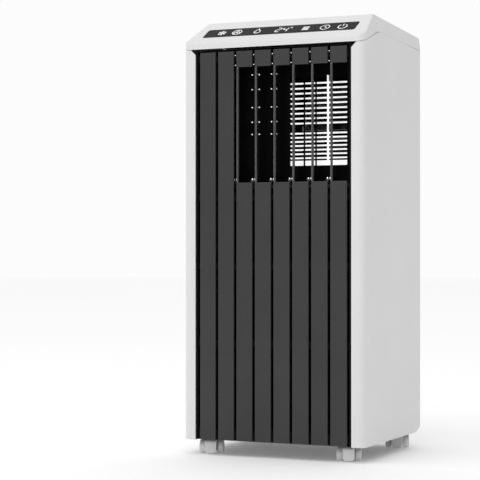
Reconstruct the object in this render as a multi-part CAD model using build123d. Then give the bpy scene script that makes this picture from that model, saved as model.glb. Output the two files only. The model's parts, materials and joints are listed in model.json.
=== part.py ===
from build123d import *

import os
from math import atan2, cos, degrees, radians, sin

# Portable air conditioner on four swivel casters.
# Millimetres. +X is the user's right when facing the front, the front looks along -Y, +Z is up.
# The origin is on the floor, under the middle of the bounding box.

# ---- driving dimensions ----------------------------------------------------------------------
WIDTH = 302.0
DEPTH = 290.0
CASING_DEPTH = 280.0
RIDGE_Z = 682.0
CASING_BOTTOM = 23.5
WALL = 2.5
FRONT = -DEPTH / 2
REAR = FRONT + CASING_DEPTH
HALF = WIDTH / 2
FRONT_CORNER = 11.5
REAR_CORNER = 22.0
BOTTOM_CORNER = 45.0
FIT_GAP = 0.3

# front opening and the flat slats that fill it
OPENING_HALF = 130.0
OPENING_TOP = 631.3
SLAT_COUNT = 8
SLAT_WIDTH = 26.7
SLAT_PITCH = 31.16
SLAT_THICK = 3.2
SLAT_LEFT = -122.0
SLAT_BOTTOM = 24.5
SLAT_TOP = 627.4
SLAT_EDGE = 1.1
FULL_SLATS = 2
RIB_HEIGHT = 10.0
RIB_HEIGHTS = (24.5, 170.0, 290.0, 396.0, 611.5)
FRAME_BACK = FRONT + 14.0
FRAME_WALL = 2.0
FRAME_LOW = 39.0
FRAME_LIP = 3.7
WINDOW = (-72.0, 126.0)

# air outlet and its swinging vanes
OUTLET_BOTTOM = 424.0
OUTLET_TOP = 602.5
VANE_GAP = 0.8
PIVOT_RADIUS = 0.9
PIVOT_LENGTH = 7.0
RUNNING = 0.06
CRANK = 9.9
PIN_RADIUS = 1.2
TIE_BOTTOM = 420.2
TIE_THICK = 2.6
TIE_HALF = 2.0
TAB_LIFT = 1.2
TAB_THICK = 2.2
OPEN_TURN = 20.0
PIVOT_Y = FRONT + SLAT_THICK / 2
LINK_CLEARANCE = 0.3
VANE_MOTOR = (100.0, FRONT + 34.0)
MOTOR_SHELF = 398.5
MOTOR_TOP = 415.0
SHAFT_RADIUS = 2.5

# top cover
CREASE_Z = 642.2
RIDGE_BACK = 70.0
RIDGE_PEAK = RIDGE_Z + 0.6
REAR_TOP_Z = 667.8
SEAM_GAP = 0.6
SEAM_FRONT_Z = 632.4
SEAM_PEAK = (66.0, 654.0)
SEAM_REAR_Z = 643.8
LEAN_START_Z = 646.0
RIDGE_HALF = 139.0
TOP_SOFTENING = 2.5
GLASS_WIDTH = 255.0
GLASS_HEIGHT = 31.0
GLASS_CENTRE = 37.6
GLASS_THICK = 1.6
TOUCH_PADS = (-99.0, -73.0, -38.0, 43.0, 75.0, 104.0)
DIGITS_X = 4.0

# rear face
REAR_PANEL_HALF = OPENING_HALF - FIT_GAP
INTAKE_HALF = 108.0
UPPER_INTAKE = (440.0, 612.0)
LOWER_INTAKE = (72.0, 236.0)
EXHAUST_Z = 335.0
EXHAUST_BORE = 65.0
EXHAUST_OUTER = 68.0
EXHAUST_FLANGE = 76.0
SCREW_X = 121.5
SCREW_HEIGHTS = (80.0, 250.0, 424.0, 632.0)
FLANGE_LOW = 68.0
SPIGOT_RADIUS = 7.0
SPIGOT_BORE = 4.5
SPIGOT_REACH = 4.0
SPIGOT_X = -60.0
LOWER_SPIGOT_Z = 54.0
UPPER_SPIGOT_Z = 415.0
GLAND_PLACE = (104.0, 296.0)

# casters
FRONT_CASTER = (115.5, FRONT + 29.0)
REAR_CASTER = (125.5, FRONT + 221.0)
CASTER_TURN = 18.0
WHEEL_RADIUS = 10.5
WHEEL_WIDTH = 9.5
DISH_RADIUS = 6.5
DISH_DEPTH = 1.5
HUB_RADIUS = 3.4
HOOD_WIDTH = 18.0
HOOD_LIFT = 1.0
HOOD_TOP = 22.5
HOOD_CHAMFER = 4.0
TRAIL = 4.0
NOSE = 17.0
NECK_RADIUS = 9.5
NECK_TOP = 36.5
AXLE_RADIUS = 2.0
AXLE_FIT = 0.02
STEM_RADIUS = 4.0
STEM_TOP = 58.0
BASE_Z = 38.0
BASE_PLATE = 3.0
BASE_FRONT = FRONT + 18.0
BASE_BACK = REAR - 18.0
BASE_HALF = 147.8
BASE_RIM = 68.0
SOCKET_RADIUS = 9.0

# inner machinery
PAN_Z = 404.0
COIL_FRONT = 78.0
COIL_DEPTH = 40.0
COIL_HALF = 118.0
COIL_FINS = 46
COIL_TUBES = 6
COIL_FIN = 1.2
FAN_SHAFT = 4.0
MOTOR_BODY = (36.0, 50.0)
COLD_COIL = (430.0, 610.0)
WARM_COIL = (72.0, 255.0)
BLOWER_X = (13.0, 113.0)
BLOWER_CENTRE = (-8.0, 513.0)
BLOWER_RADIUS = 77.0
BLOWER_WHEEL = (66.0, 80.0, 30)
BLOWER_EYE = 52.0
MOUTH_Y = FRONT + 41.0
MOUTH_Z = (447.0, 591.0)
GUARD_RAIL = 7.5
GUARD_BAR = 2.2
GUARD_LOWER = (11.5, 6.35, 7)
GUARD_UPPER = (65.1, 7.7, 9)
GUARD_UPRIGHT = 77.1
DUCT_POSTS = (40.7, 60.0)
WARM_CENTRE = (24.0, 165.0)
WARM_RADIUS = 83.5
WARM_WHEEL = (70.0, 66.0, 30)
WARM_EYE = 54.0
WARM_SHAFT_HOLE = 20.0
WARM_Y = (-14.0, 72.0)
DUCT_X = 69.5
DUCT_Z = (265.5, 401.0)
DUCT_BACK = 117.7
COMPRESSOR = (-80.0, -62.0)
ACCUMULATOR = (-122.0, 2.0)
CAN_RADIUS = 46.0
CAN_LOW = 58.0
CAN_TOP = 226.0
FOOT_RADIUS = 56.0
FOOT_ANGLES = (80, 200, 320)
FOOT_LOW = 58.5
FOOT_HIGH = 61.5


# ---- small helpers ---------------------------------------------------------------------------
def block(low, high):
    """A box given by its lowest and highest corners."""
    size = [b - a for a, b in zip(low, high)]
    centre = [(a + b) / 2 for a, b in zip(low, high)]
    return Pos(*centre) * Box(*size)


def rod(start, end, radius):
    """A round bar from one point to another."""
    run = Vector(*end) - Vector(*start)
    return Solid.make_cylinder(radius, run.length, Plane(origin=start, z_dir=run))


def across(face_yz, x_low, x_high):
    """A profile drawn in Y and Z, pushed out from x_low to x_high."""
    return Pos(x_low, 0, 0) * extrude(Plane.YZ * face_yz, x_high - x_low)


def rearward(face_xz, y_low, y_high):
    """A profile drawn in X and Z, pushed back from y_low to y_high."""
    return Pos(0, y_high, 0) * extrude(Plane.XZ * face_xz, y_high - y_low)


def upward(face_xy, z_low, z_high):
    """A profile drawn in X and Y, pushed up from z_low to z_high."""
    return Pos(0, 0, z_low) * extrude(face_xy, z_high - z_low)


def rectangle(low, high):
    """A flat rectangle given by two corners."""
    size = [b - a for a, b in zip(low, high)]
    return Pos((low[0] + high[0]) / 2, (low[1] + high[1]) / 2) * Rectangle(*size)


def pipe(points, bend, radius):
    """A bent tube: straight runs joined by tangent arcs."""
    path = FilletPolyline(*points, radius=bend)
    start = Plane(origin=path @ 0, z_dir=path % 0)
    return sweep(start * Circle(radius), path=path)


def save(name, shape):
    """Writes one node's STEP file."""
    export_step(shape, f"parts/{name}.step")


# ---- casing ----------------------------------------------------------------------------------
def plan_outline(inset):
    """The casing seen from above, with small front corners and larger rear ones."""
    outline = rectangle((-HALF + inset, FRONT + inset), (HALF - inset, REAR - inset))
    front = outline.vertices().filter_by_position(Axis.Y, FRONT, FRONT + WALL * 2)
    outline = fillet(front, FRONT_CORNER - inset)
    rear = outline.vertices().filter_by_position(Axis.Y, REAR - WALL * 2, REAR)
    return fillet(rear, REAR_CORNER - inset)


def seam_line(lift):
    """The joint between the side shells and the top cover, seen from the side."""
    return FilletPolyline(
        (FRONT, SEAM_FRONT_Z + lift),
        (FRONT + SEAM_PEAK[0], SEAM_PEAK[1] + lift),
        (REAR, SEAM_REAR_Z + lift),
        radius=60,
    )


def side_outline():
    """The lower casing seen from the side: seam on top, rounded rear corner at the bottom."""
    seam = seam_line(0)
    rest = Polyline((REAR, SEAM_REAR_Z), (REAR, CASING_BOTTOM), (FRONT, CASING_BOTTOM), (FRONT, SEAM_FRONT_Z))
    face = make_face([*seam.edges(), *rest.edges()])
    corner = face.vertices().sort_by_distance((REAR, CASING_BOTTOM))[0]
    return fillet(corner, BOTTOM_CORNER)


def casing_shell():
    """The thin wall all round the lower casing, open at the front, the top and below."""
    outer = upward(plan_outline(0), 0, RIDGE_Z) & across(side_outline(), -HALF, HALF)
    hollow = rectangle((FRONT - WALL, CASING_BOTTOM + WALL), (REAR - WALL, RIDGE_Z))
    corner = hollow.vertices().sort_by_distance((REAR, CASING_BOTTOM))[0]
    hollow = fillet(corner, BOTTOM_CORNER - WALL)
    hollow += rectangle((FRONT - WALL, 0), (REAR - BOTTOM_CORNER, CASING_BOTTOM + WALL * 2))
    inner = upward(plan_outline(WALL), 0, RIDGE_Z) & across(hollow, -HALF, HALF)
    return outer - inner


def side_shell(shell, side):
    """One side of the casing, with its front border and its rear screw flange."""
    inner, outer = sorted((side * OPENING_HALF, side * HALF))
    body = shell & block((inner, FRONT, 0), (outer, REAR, RIDGE_Z))
    low, high = sorted((side * OPENING_HALF, side * (OPENING_HALF + WALL)))
    body += block((low, FRONT, CASING_BOTTOM), (high, FRONT + 12, SEAM_FRONT_Z - 2))
    low, high = sorted((side * (INTAKE_HALF + 5), side * (OPENING_HALF + WALL)))
    flange_back = REAR - WALL - FIT_GAP
    body += block((low, flange_back - WALL, FLANGE_LOW), (high, flange_back, SEAM_REAR_Z - 3))
    low, high = sorted((side * OPENING_HALF, side * (OPENING_HALF + WALL)))
    body += block((low, flange_back - WALL, FLANGE_LOW), (high, REAR - WALL / 2, SEAM_REAR_Z - 3))
    for height in SCREW_HEIGHTS:
        body -= rod((side * SCREW_X, 120, height), (side * SCREW_X, REAR, height), 1.8)
    chamfer_size = 7.0
    wedge = Polyline(
        (side * (OPENING_HALF - 1), OPENING_TOP + 3),
        (side * (OPENING_HALF - 1), OPENING_TOP - chamfer_size - 1),
        (side * (OPENING_HALF + chamfer_size + 3), OPENING_TOP + 3),
        close=True,
    )
    body -= rearward(make_face(wedge), FRONT - 1, FRONT + 14)
    edges = body.edges().filter_by_position(Axis.Z, CASING_BOTTOM - 0.1, CASING_BOTTOM + 0.1)
    rim = [e for e in edges if abs(e.center().X) > HALF - 1]
    return fillet(rim, 1.0)


def rear_cover(shell):
    """The flat back, with its two intake windows, the exhaust hole and the drain holes."""
    body = shell & block((-REAR_PANEL_HALF, REAR - BOTTOM_CORNER, 0), (REAR_PANEL_HALF, REAR, RIDGE_Z))
    for low, high in (UPPER_INTAKE, LOWER_INTAKE):
        body -= block((-INTAKE_HALF, REAR - 20, low), (INTAKE_HALF, REAR + 1, high))
    body -= rod((0, REAR - 20, EXHAUST_Z), (0, REAR + 1, EXHAUST_Z), EXHAUST_OUTER + FIT_GAP)
    for height in (LOWER_SPIGOT_Z, UPPER_SPIGOT_Z):
        body -= rod((SPIGOT_X, REAR - 20, height), (SPIGOT_X, REAR + 1, height), SPIGOT_RADIUS + FIT_GAP)
    x, z = GLAND_PLACE
    body -= rod((x, REAR - 20, z), (x, REAR + 1, z), 8.0 + FIT_GAP)
    for side in (-1, 1):
        for height in SCREW_HEIGHTS:
            body -= rod((side * SCREW_X, REAR - 20, height), (side * SCREW_X, REAR + 1, height), 1.8)
    return body


def slope_plane():
    """A plane on the sloping control panel, its Y running up the slope from the crease."""
    angle = atan2(RIDGE_PEAK - CREASE_Z, RIDGE_BACK)
    normal = (0, -sin(angle), cos(angle))
    return Plane(origin=(0, FRONT, CREASE_Z), x_dir=(1, 0, 0), z_dir=normal)


def top_profile():
    """The top cover seen from the side: fascia, slope, falling top and the seam below."""
    seam = seam_line(SEAM_GAP)
    rest = Polyline(
        (REAR, SEAM_REAR_Z + SEAM_GAP),
        (REAR, REAR_TOP_Z),
        (FRONT + RIDGE_BACK, RIDGE_PEAK),
        (FRONT, CREASE_Z),
        (FRONT, SEAM_FRONT_Z + SEAM_GAP),
    )
    face = make_face([*seam.edges(), *rest.edges()])
    corners = face.vertices()
    face = fillet(corners.sort_by_distance((FRONT, CREASE_Z))[0], 4.0)
    face = fillet(face.vertices().sort_by_distance((FRONT + RIDGE_BACK, RIDGE_Z))[0], 8.0)
    return fillet(face.vertices().sort_by_distance((REAR, REAR_TOP_Z))[0], 9.0)


def top_front_outline(inset):
    """The top cover seen from the front: walls that lean in above the seam."""
    half = HALF - inset
    ridge = RIDGE_HALF - inset
    outline = Polyline(
        (-half, 600), (half, 600), (half, LEAN_START_Z), (ridge, RIDGE_Z + 4 - inset),
        (-ridge, RIDGE_Z + 4 - inset), (-half, LEAN_START_Z), close=True,
    )
    face = make_face(outline)
    lean = face.vertices().filter_by_position(Axis.Y, LEAN_START_Z - 1, LEAN_START_Z + 1)
    return fillet(lean, 12.0)


def top_cover():
    """The sloping top cover, hollow, with a shallow pocket for the control glass."""
    profile = top_profile()
    outer = across(profile, -HALF, HALF)
    outer = outer & rearward(top_front_outline(0), FRONT, REAR) & upward(plan_outline(0), 600, 720)
    long_edges = outer.edges().filter_by(lambda e: abs(e.center().X) > RIDGE_HALF - 8 and e.length > 40)
    upper = [e for e in long_edges if e.center().Z > 655]
    outer = fillet(upper, TOP_SOFTENING)
    hollow = offset(profile, -WALL)
    under = Polyline(
        (FRONT + WALL, 600), (FRONT + WALL, CREASE_Z - 2.5), (FRONT + 15, 647.5), (REAR - WALL, 647.5),
        (REAR - WALL, 600), close=True,
    )
    hollow += make_face(under)
    inner = across(hollow, -HALF, HALF)
    inner = inner & rearward(top_front_outline(WALL), FRONT, REAR) & upward(plan_outline(WALL), 590, 720)
    body = outer - inner
    pocket = Pos(0, GLASS_CENTRE) * RectangleRounded(GLASS_WIDTH + FIT_GAP * 2, GLASS_HEIGHT + FIT_GAP * 2, 4.3)
    return body - extrude(slope_plane() * pocket, -GLASS_THICK - 0.1) - extrude(slope_plane() * pocket, 1)


def control_glass():
    """The black touch glass, flush with the slope."""
    outline = Pos(0, GLASS_CENTRE) * RectangleRounded(GLASS_WIDTH, GLASS_HEIGHT, 4.0)
    glass = extrude(slope_plane() * outline, -GLASS_THICK)
    top = glass.faces().sort_by(Axis((0, 0, 0), slope_plane().z_dir))[-1]
    return chamfer(top.edges(), 0.3)


def display_board():
    """The circuit board under the glass: touch pads, a digit block and a connector."""
    plane = slope_plane()
    depth = WALL + 1.5
    board = extrude(plane * Pos(0, GLASS_CENTRE) * RectangleRounded(236, 22, 2), -1.6)
    board = Pos(plane.z_dir * -(depth + 1.6)) * board
    parts = extrude(plane * Pos(DIGITS_X, GLASS_CENTRE) * Rectangle(34, 13), -1.4)
    for x in TOUCH_PADS:
        parts += extrude(plane * Pos(x, GLASS_CENTRE) * Circle(5), -1.4)
    parts = Pos(plane.z_dir * -(depth + 0.3)) * parts
    plug = extrude(plane * Pos(-20, GLASS_CENTRE) * Rectangle(18, 8), -6)
    plug = Pos(plane.z_dir * -(depth + 3.1)) * plug
    return board + parts + plug


# ---- front -----------------------------------------------------------------------------------
def slat_left(index):
    """The left edge of a slat, or of the vane that takes its place in the outlet."""
    return SLAT_LEFT + SLAT_PITCH * index


def pivot_x(index):
    return slat_left(index) + SLAT_THICK / 2


def slat_bar(index, low, high):
    """One flat slat with softened edges."""
    bar = block((slat_left(index), FRONT, low), (slat_left(index) + SLAT_WIDTH, FRONT + SLAT_THICK, high))
    front_edges = bar.edges().group_by(Axis.Y)[0]
    return fillet(front_edges, SLAT_EDGE)


def slat_panel():
    """The fixed slats, clipped on the frame's ribs, with the holes for the vane pivots."""
    bars = [slat_bar(index, SLAT_BOTTOM, SLAT_TOP) for index in range(FULL_SLATS)]
    hole = PIVOT_RADIUS + RUNNING
    for index in range(FULL_SLATS, SLAT_COUNT):
        x = pivot_x(index)
        lower_pin = rod((x, PIVOT_Y, OUTLET_BOTTOM - PIVOT_LENGTH), (x, PIVOT_Y, OUTLET_BOTTOM + 1), hole)
        upper_pin = rod((x, PIVOT_Y, OUTLET_TOP - 1), (x, PIVOT_Y, OUTLET_TOP + PIVOT_LENGTH), hole)
        bars.append(slat_bar(index, SLAT_BOTTOM, OUTLET_BOTTOM) - lower_pin)
        bars.append(slat_bar(index, OUTLET_TOP, SLAT_TOP) - upper_pin)
    return Compound(children=bars)


def front_frame():
    """The black frame behind the slats: side lips, ribs, a back wall with the outlet window, a shelf."""
    edge = OPENING_HALF - FIT_GAP
    top = OPENING_TOP - 0.6
    lip_low = edge - FRAME_LIP
    wall = rectangle((-edge, FRAME_LOW), (edge, top))
    wall -= rectangle((WINDOW[0], OUTLET_BOTTOM - 9), (WINDOW[1], OUTLET_TOP + 3))
    body = rearward(wall, FRAME_BACK, FRAME_BACK + FRAME_WALL)
    for side in (-1, 1):
        low, high = sorted((side * lip_low, side * edge))
        body += block((low, FRONT + 1.5, FRAME_LOW + 2), (high, FRAME_BACK + FRAME_WALL, top))
        body += block((low, FRONT + 1.5, SLAT_BOTTOM), (high, FRONT + 6, FRAME_LOW + 3))
        corner = Polyline(
            (side * (edge - 0.3), top - 6.4), (side * (edge + 6.1), top), (side * (edge - 0.3), top), close=True,
        )
        body += rearward(make_face(corner), FRONT + 3, FRONT + 5)
    body += block((-edge, FRONT + 1.5, top - 1.6), (edge, FRAME_BACK + FRAME_WALL, top))
    for height in RIB_HEIGHTS[1:]:
        body += block((-edge, FRONT + SLAT_THICK, height), (edge, FRAME_BACK + 1, height + RIB_HEIGHT))
    low = RIB_HEIGHTS[0]
    body += block((-edge, FRONT + SLAT_THICK, low), (edge, FRONT + 6, FRAME_LOW + 3))
    body += block((-edge, FRONT + SLAT_THICK, FRAME_LOW), (edge, FRAME_BACK + 1, FRAME_LOW + 3))
    shelf_x = (VANE_MOTOR[0] - 17, VANE_MOTOR[0] + 17)
    body += block((shelf_x[0], FRAME_BACK, MOTOR_SHELF - 2.5), (shelf_x[1], FRAME_BACK + 36, MOTOR_SHELF))
    for x in (shelf_x[0], shelf_x[1] - 2):
        gusset = Polyline(
            (FRAME_BACK + 1, 370), (FRAME_BACK + 1, MOTOR_SHELF - 1.5), (FRAME_BACK + 34, MOTOR_SHELF - 1.5),
            close=True,
        )
        body += across(make_face(gusset), x, x + 2)
    return body


def vane(index):
    """One swinging vane at rest, open and turned a little to the left, with its pivots and crank tab."""
    low = OUTLET_BOTTOM + VANE_GAP
    high = OUTLET_TOP - VANE_GAP
    x = pivot_x(index)
    blade = Pos(0, (SLAT_WIDTH - SLAT_THICK) / 2) * RectangleRounded(SLAT_THICK, SLAT_WIDTH, SLAT_EDGE)
    body = upward(Pos(x, PIVOT_Y) * Rot(0, 0, OPEN_TURN) * blade, low, high)
    body += rod((x, PIVOT_Y, OUTLET_BOTTOM - PIVOT_LENGTH + 0.5), (x, PIVOT_Y, low + 1), PIVOT_RADIUS)
    body += rod((x, PIVOT_Y, high - 1), (x, PIVOT_Y, OUTLET_TOP + PIVOT_LENGTH - 0.5), PIVOT_RADIUS)
    pin_x = x - CRANK
    pin_y = PIVOT_Y + CRANK
    tab_low = low + TAB_LIFT
    body += block((pin_x - 2, pin_y - 2.5, tab_low), (x - 3, pin_y + 2.5, tab_low + TAB_THICK))
    return body + rod((pin_x, pin_y, TIE_BOTTOM + 0.2), (pin_x, pin_y, tab_low + 1), PIN_RADIUS)


def vane_tie_bar():
    """The flat bar that makes the vanes swing together, with an arm back to the motor crank."""
    first = pivot_x(FULL_SLATS) - CRANK
    last = pivot_x(SLAT_COUNT - 1) - CRANK
    y = PIVOT_Y + CRANK
    arm_x = VANE_MOTOR[0] - CRANK
    arm_y = VANE_MOTOR[1] + CRANK
    outline = rectangle((first - TIE_HALF, y - TIE_HALF), (arm_x + TIE_HALF, y + TIE_HALF))
    outline += rectangle((arm_x - 3, y - TIE_HALF), (arm_x + 3, arm_y + 3))
    for index in range(FULL_SLATS, SLAT_COUNT):
        hole = RUNNING if index == FULL_SLATS else LINK_CLEARANCE
        outline -= Pos(pivot_x(index) - CRANK, y) * Circle(PIN_RADIUS + hole)
    outline -= Pos(arm_x, arm_y) * Circle(PIN_RADIUS + LINK_CLEARANCE)
    return upward(outline, TIE_BOTTOM, TIE_BOTTOM + TIE_THICK)


def vane_motor():
    """The small stepper motor that swings the vanes: can, mounting ears and plug."""
    x, y = VANE_MOTOR
    body = rod((x, y, MOTOR_SHELF), (x, y, MOTOR_TOP), 14.0)
    body += block((x - 17, y - 3.5, MOTOR_TOP - 1.6), (x + 17, y + 3.5, MOTOR_TOP - 0.6))
    body += block((x - 7, y + 12, MOTOR_SHELF + 1.5), (x + 7, y + 17, MOTOR_SHELF + 11.5))
    return body - rod((x, y, MOTOR_TOP - 7), (x, y, MOTOR_TOP + 1), SHAFT_RADIUS + RUNNING)


def motor_crank():
    """The motor shaft with its crank arm and pin."""
    x, y = VANE_MOTOR
    pin = (x - CRANK, y + CRANK)
    length = CRANK * 2 ** 0.5
    arm_low = MOTOR_TOP + 1
    arm = Pos(x, y) * Rot(0, 0, 135) * Pos(length / 2, 0) * SlotCenterToCenter(length, 5)
    body = upward(arm, arm_low, arm_low + 2.6)
    body += rod((x, y, MOTOR_TOP - 6), (x, y, arm_low + 0.5), SHAFT_RADIUS)
    return body + rod((*pin, arm_low + 2), (*pin, TIE_BOTTOM + TIE_THICK - 0.2), PIN_RADIUS)


# ---- air path of the cold side -----------------------------------------------------------------

def outlet_duct():
    """The black tunnel between the outlet window and the blower mouth, with two thin posts."""
    front = FRONT + 29
    low, high = (WINDOW[0] - 2, OUTLET_BOTTOM + 2.5), (WINDOW[1] + 3, OUTLET_TOP + 4.5)
    outer = rectangle(low, high)
    tunnel = rectangle((low[0] + 2, low[1] + 2), (high[0] - 2, high[1] - 2))
    body = rearward(outer - tunnel, front, MOUTH_Y - 5)
    mouth = rectangle((BLOWER_X[0] + WALL, MOUTH_Z[0] + WALL), (BLOWER_X[1] - WALL, MOUTH_Z[1] - WALL))
    body += rearward(outer - mouth, MOUTH_Y - 7, MOUTH_Y - 5)
    for x in DUCT_POSTS:
        body += block((x - 0.8, MOUTH_Y - 9.5, low[1] + 1), (x + 0.8, MOUTH_Y - 6.5, high[1] - 1))
    return body


def inner_grille():
    """The pale guard in the blower mouth: a bottom rail, two banks of level bars and an upright."""
    left = BLOWER_X[0] + WALL + 0.5
    right = BLOWER_X[1] - WALL - 0.5
    low = MOUTH_Z[0] + WALL + 0.5
    back = MOUTH_Y - 0.2
    front = back - 4.0
    outline = rectangle((left, low), (right, low + GUARD_RAIL))
    for first, pitch, count in (GUARD_LOWER, GUARD_UPPER):
        for index in range(count):
            middle = low + first + pitch * index
            outline += rectangle((left, middle - GUARD_BAR / 2), (right, middle + GUARD_BAR / 2))
    body = rearward(outline, front, back)
    tall = MOUTH_Z[1] - WALL - 0.5
    return body + block((GUARD_UPRIGHT, front - 1.2, low), (GUARD_UPRIGHT + 1.2, back, tall))


def blower_scroll():
    """The blower housing, open at both sides and at its mouth."""
    y, z = BLOWER_CENTRE
    outer = Pos(y, z) * Circle(BLOWER_RADIUS + WALL) + rectangle((MOUTH_Y, MOUTH_Z[0]), (y, MOUTH_Z[1]))
    inner = Pos(y, z) * Circle(BLOWER_RADIUS)
    inner += rectangle((MOUTH_Y - 5, MOUTH_Z[0] + WALL), (y, MOUTH_Z[1] - WALL))
    body = across(outer, *BLOWER_X) - across(inner, BLOWER_X[0] + WALL, BLOWER_X[1] - WALL)
    return body - rod((BLOWER_X[0] - 1, y, z), (BLOWER_X[1] + 1, y, z), BLOWER_EYE)


def fan_wheel(radius, length, blades):
    """A drum fan along +Z: end rings, blades, a middle disc and a hub."""
    ring = Circle(radius) - Circle(radius - 11)
    cage = Sketch() + [loc * Rectangle(9.5, 1.4) for loc in PolarLocations(radius - 5.5, blades)]
    body = extrude(cage, length)
    for start in (0, length - 3):
        body += Pos(0, 0, start) * extrude(ring, 3)
    body += Pos(0, 0, length / 2 - 1) * extrude(Circle(radius - 0.5), 2)
    return body + extrude(Circle(9), length / 2 + 10)


def blower_wheel():
    """The cold-side fan with its shaft."""
    y, z = BLOWER_CENTRE
    start = BLOWER_X[0] + 11
    wheel = Plane(origin=(start, y, z), z_dir=(1, 0, 0)).location * fan_wheel(*BLOWER_WHEEL)
    return wheel + rod((-30, y, z), (start + 6, y, z), FAN_SHAFT)


def fan_motor():
    """A round fan motor along +Z, its bore at the far end, with a ribbed body and a mounting ring."""
    radius, length = MOTOR_BODY
    body = extrude(Circle(radius), length)
    body += Pos(0, 0, 20) * extrude(Circle(radius + 6), 4)
    body += Pos(0, 0, length) * extrude(Circle(14), 6)
    for loc in PolarLocations(radius, 12):
        body += Pos(0, 0, 4) * extrude(loc * Rectangle(4, 2), 14)
    return body - Pos(0, 0, 12) * extrude(Circle(FAN_SHAFT + RUNNING), length)


def blower_motor():
    """The cold-side fan's motor, beside the housing."""
    y, z = BLOWER_CENTRE
    return Plane(origin=(-45, y, z), z_dir=(1, 0, 0)).location * fan_motor()


def coil(low, high):
    """A finned heat exchanger with end plates and return bends."""
    middle = COIL_FRONT + COIL_DEPTH / 2
    fins = rectangle((-COIL_HALF, middle - 2), (COIL_HALF, middle + 2))
    pitch = (2 * COIL_HALF - COIL_FIN) / COIL_FINS
    for index in range(COIL_FINS + 1):
        x = -COIL_HALF + pitch * index
        fins += rectangle((x, COIL_FRONT), (x + COIL_FIN, COIL_FRONT + COIL_DEPTH))
    body = upward(fins, low, high)
    for side in (-1, 1):
        a, b = sorted((side * COIL_HALF, side * (COIL_HALF + 2)))
        body += block((a, COIL_FRONT, low), (b, COIL_FRONT + COIL_DEPTH, high))
    step = (high - low) / COIL_TUBES
    for index in range(COIL_TUBES):
        z = low + step * (index + 0.5)
        bend = Plane(origin=(COIL_HALF + 1, middle, z), x_dir=(0, 1, 0), z_dir=(0, 0, 1))
        ring = bend.location * Torus(9, 3.2)
        body += ring & block((COIL_HALF + 1, 0, low), (COIL_HALF + 15, 200, high))
    return body


def drain_pan():
    """The tray under the cold coil, with its rim and drain spigot."""
    outline = rectangle((-129, -90), (129, 126))
    body = upward(outline, PAN_Z, PAN_Z + WALL)
    body += upward(outline - offset(outline, -WALL), PAN_Z, PAN_Z + 20)
    mouth = REAR + SPIGOT_REACH
    body += rod((SPIGOT_X, 120, UPPER_SPIGOT_Z), (SPIGOT_X, mouth, UPPER_SPIGOT_Z), SPIGOT_RADIUS)
    return body - rod((SPIGOT_X, 119, UPPER_SPIGOT_Z), (SPIGOT_X, mouth + 1, UPPER_SPIGOT_Z), SPIGOT_BORE)


def control_box():
    """The box of the main control board, with a lid flange and cable slots."""
    body = block((-140, -60, 440), (-64, 50, 596)) - block((-137.5, -57.5, 442.5), (-61, 47.5, 593.5))
    body += block((-64, -66, 434), (-62, 56, 602))
    body += block((-136, -50, 470), (-134.5, 40, 580)) + block((-138, -40, 480), (-135, -36, 570))
    return body - block((-120, -70, 560), (-90, -50, 575))


# ---- warm side ---------------------------------------------------------------------------------

def condenser_scroll():
    """The warm-side blower housing and the duct that turns back to the exhaust collar."""
    x, z = WARM_CENTRE
    outer_radius = WARM_RADIUS + WALL
    wide = DUCT_X + WALL
    shoulder = DUCT_Z[0] - 3.5
    outer = Pos(x, z) * Circle(outer_radius) + rectangle((-wide, z), (x + outer_radius, shoulder))
    outer += rectangle((-wide, shoulder - WALL), (wide, DUCT_Z[1] + WALL))
    inner = Pos(x, z) * Circle(WARM_RADIUS) + rectangle((-DUCT_X, z), (x + WARM_RADIUS, shoulder - WALL))
    inner += rectangle((-DUCT_X, shoulder - WALL * 2), (DUCT_X, DUCT_Z[1]))
    body = rearward(outer, *WARM_Y)
    duct = rectangle((-wide, DUCT_Z[0] - WALL), (wide, DUCT_Z[1] + WALL))
    body += rearward(duct, WARM_Y[1] - 1, DUCT_BACK)
    body -= rearward(inner, WARM_Y[0] + WALL, WARM_Y[1] - WALL)
    back_wall = DUCT_BACK - WALL
    body -= rearward(rectangle((-DUCT_X, DUCT_Z[0]), (DUCT_X, DUCT_Z[1])), WARM_Y[1] - 4, back_wall)
    body -= rod((0, back_wall - 0.1, EXHAUST_Z), (0, DUCT_BACK + 1, EXHAUST_Z), EXHAUST_BORE + 1.5)
    body -= rod((x, WARM_Y[1] - 5, z), (x, WARM_Y[1] + 1, z), WARM_EYE)
    return body - rod((x, WARM_Y[0] - 1, z), (x, WARM_Y[0] + 5, z), WARM_SHAFT_HOLE)


def condenser_wheel():
    """The warm-side fan with its shaft."""
    x, z = WARM_CENTRE
    start = WARM_Y[1] - 6
    wheel = Plane(origin=(x, start, z), z_dir=(0, -1, 0)).location * fan_wheel(*WARM_WHEEL)
    return wheel + rod((x, -60, z), (x, 30, z), FAN_SHAFT)


def condenser_motor():
    """The warm-side fan's motor, in front of its housing."""
    x, z = WARM_CENTRE
    return Plane(origin=(x, -76, z), z_dir=(0, 1, 0)).location * fan_motor()


def compressor_feet():
    x, y = COMPRESSOR
    return [(x + FOOT_RADIUS * cos(radians(a)), y + FOOT_RADIUS * sin(radians(a))) for a in FOOT_ANGLES]


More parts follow.
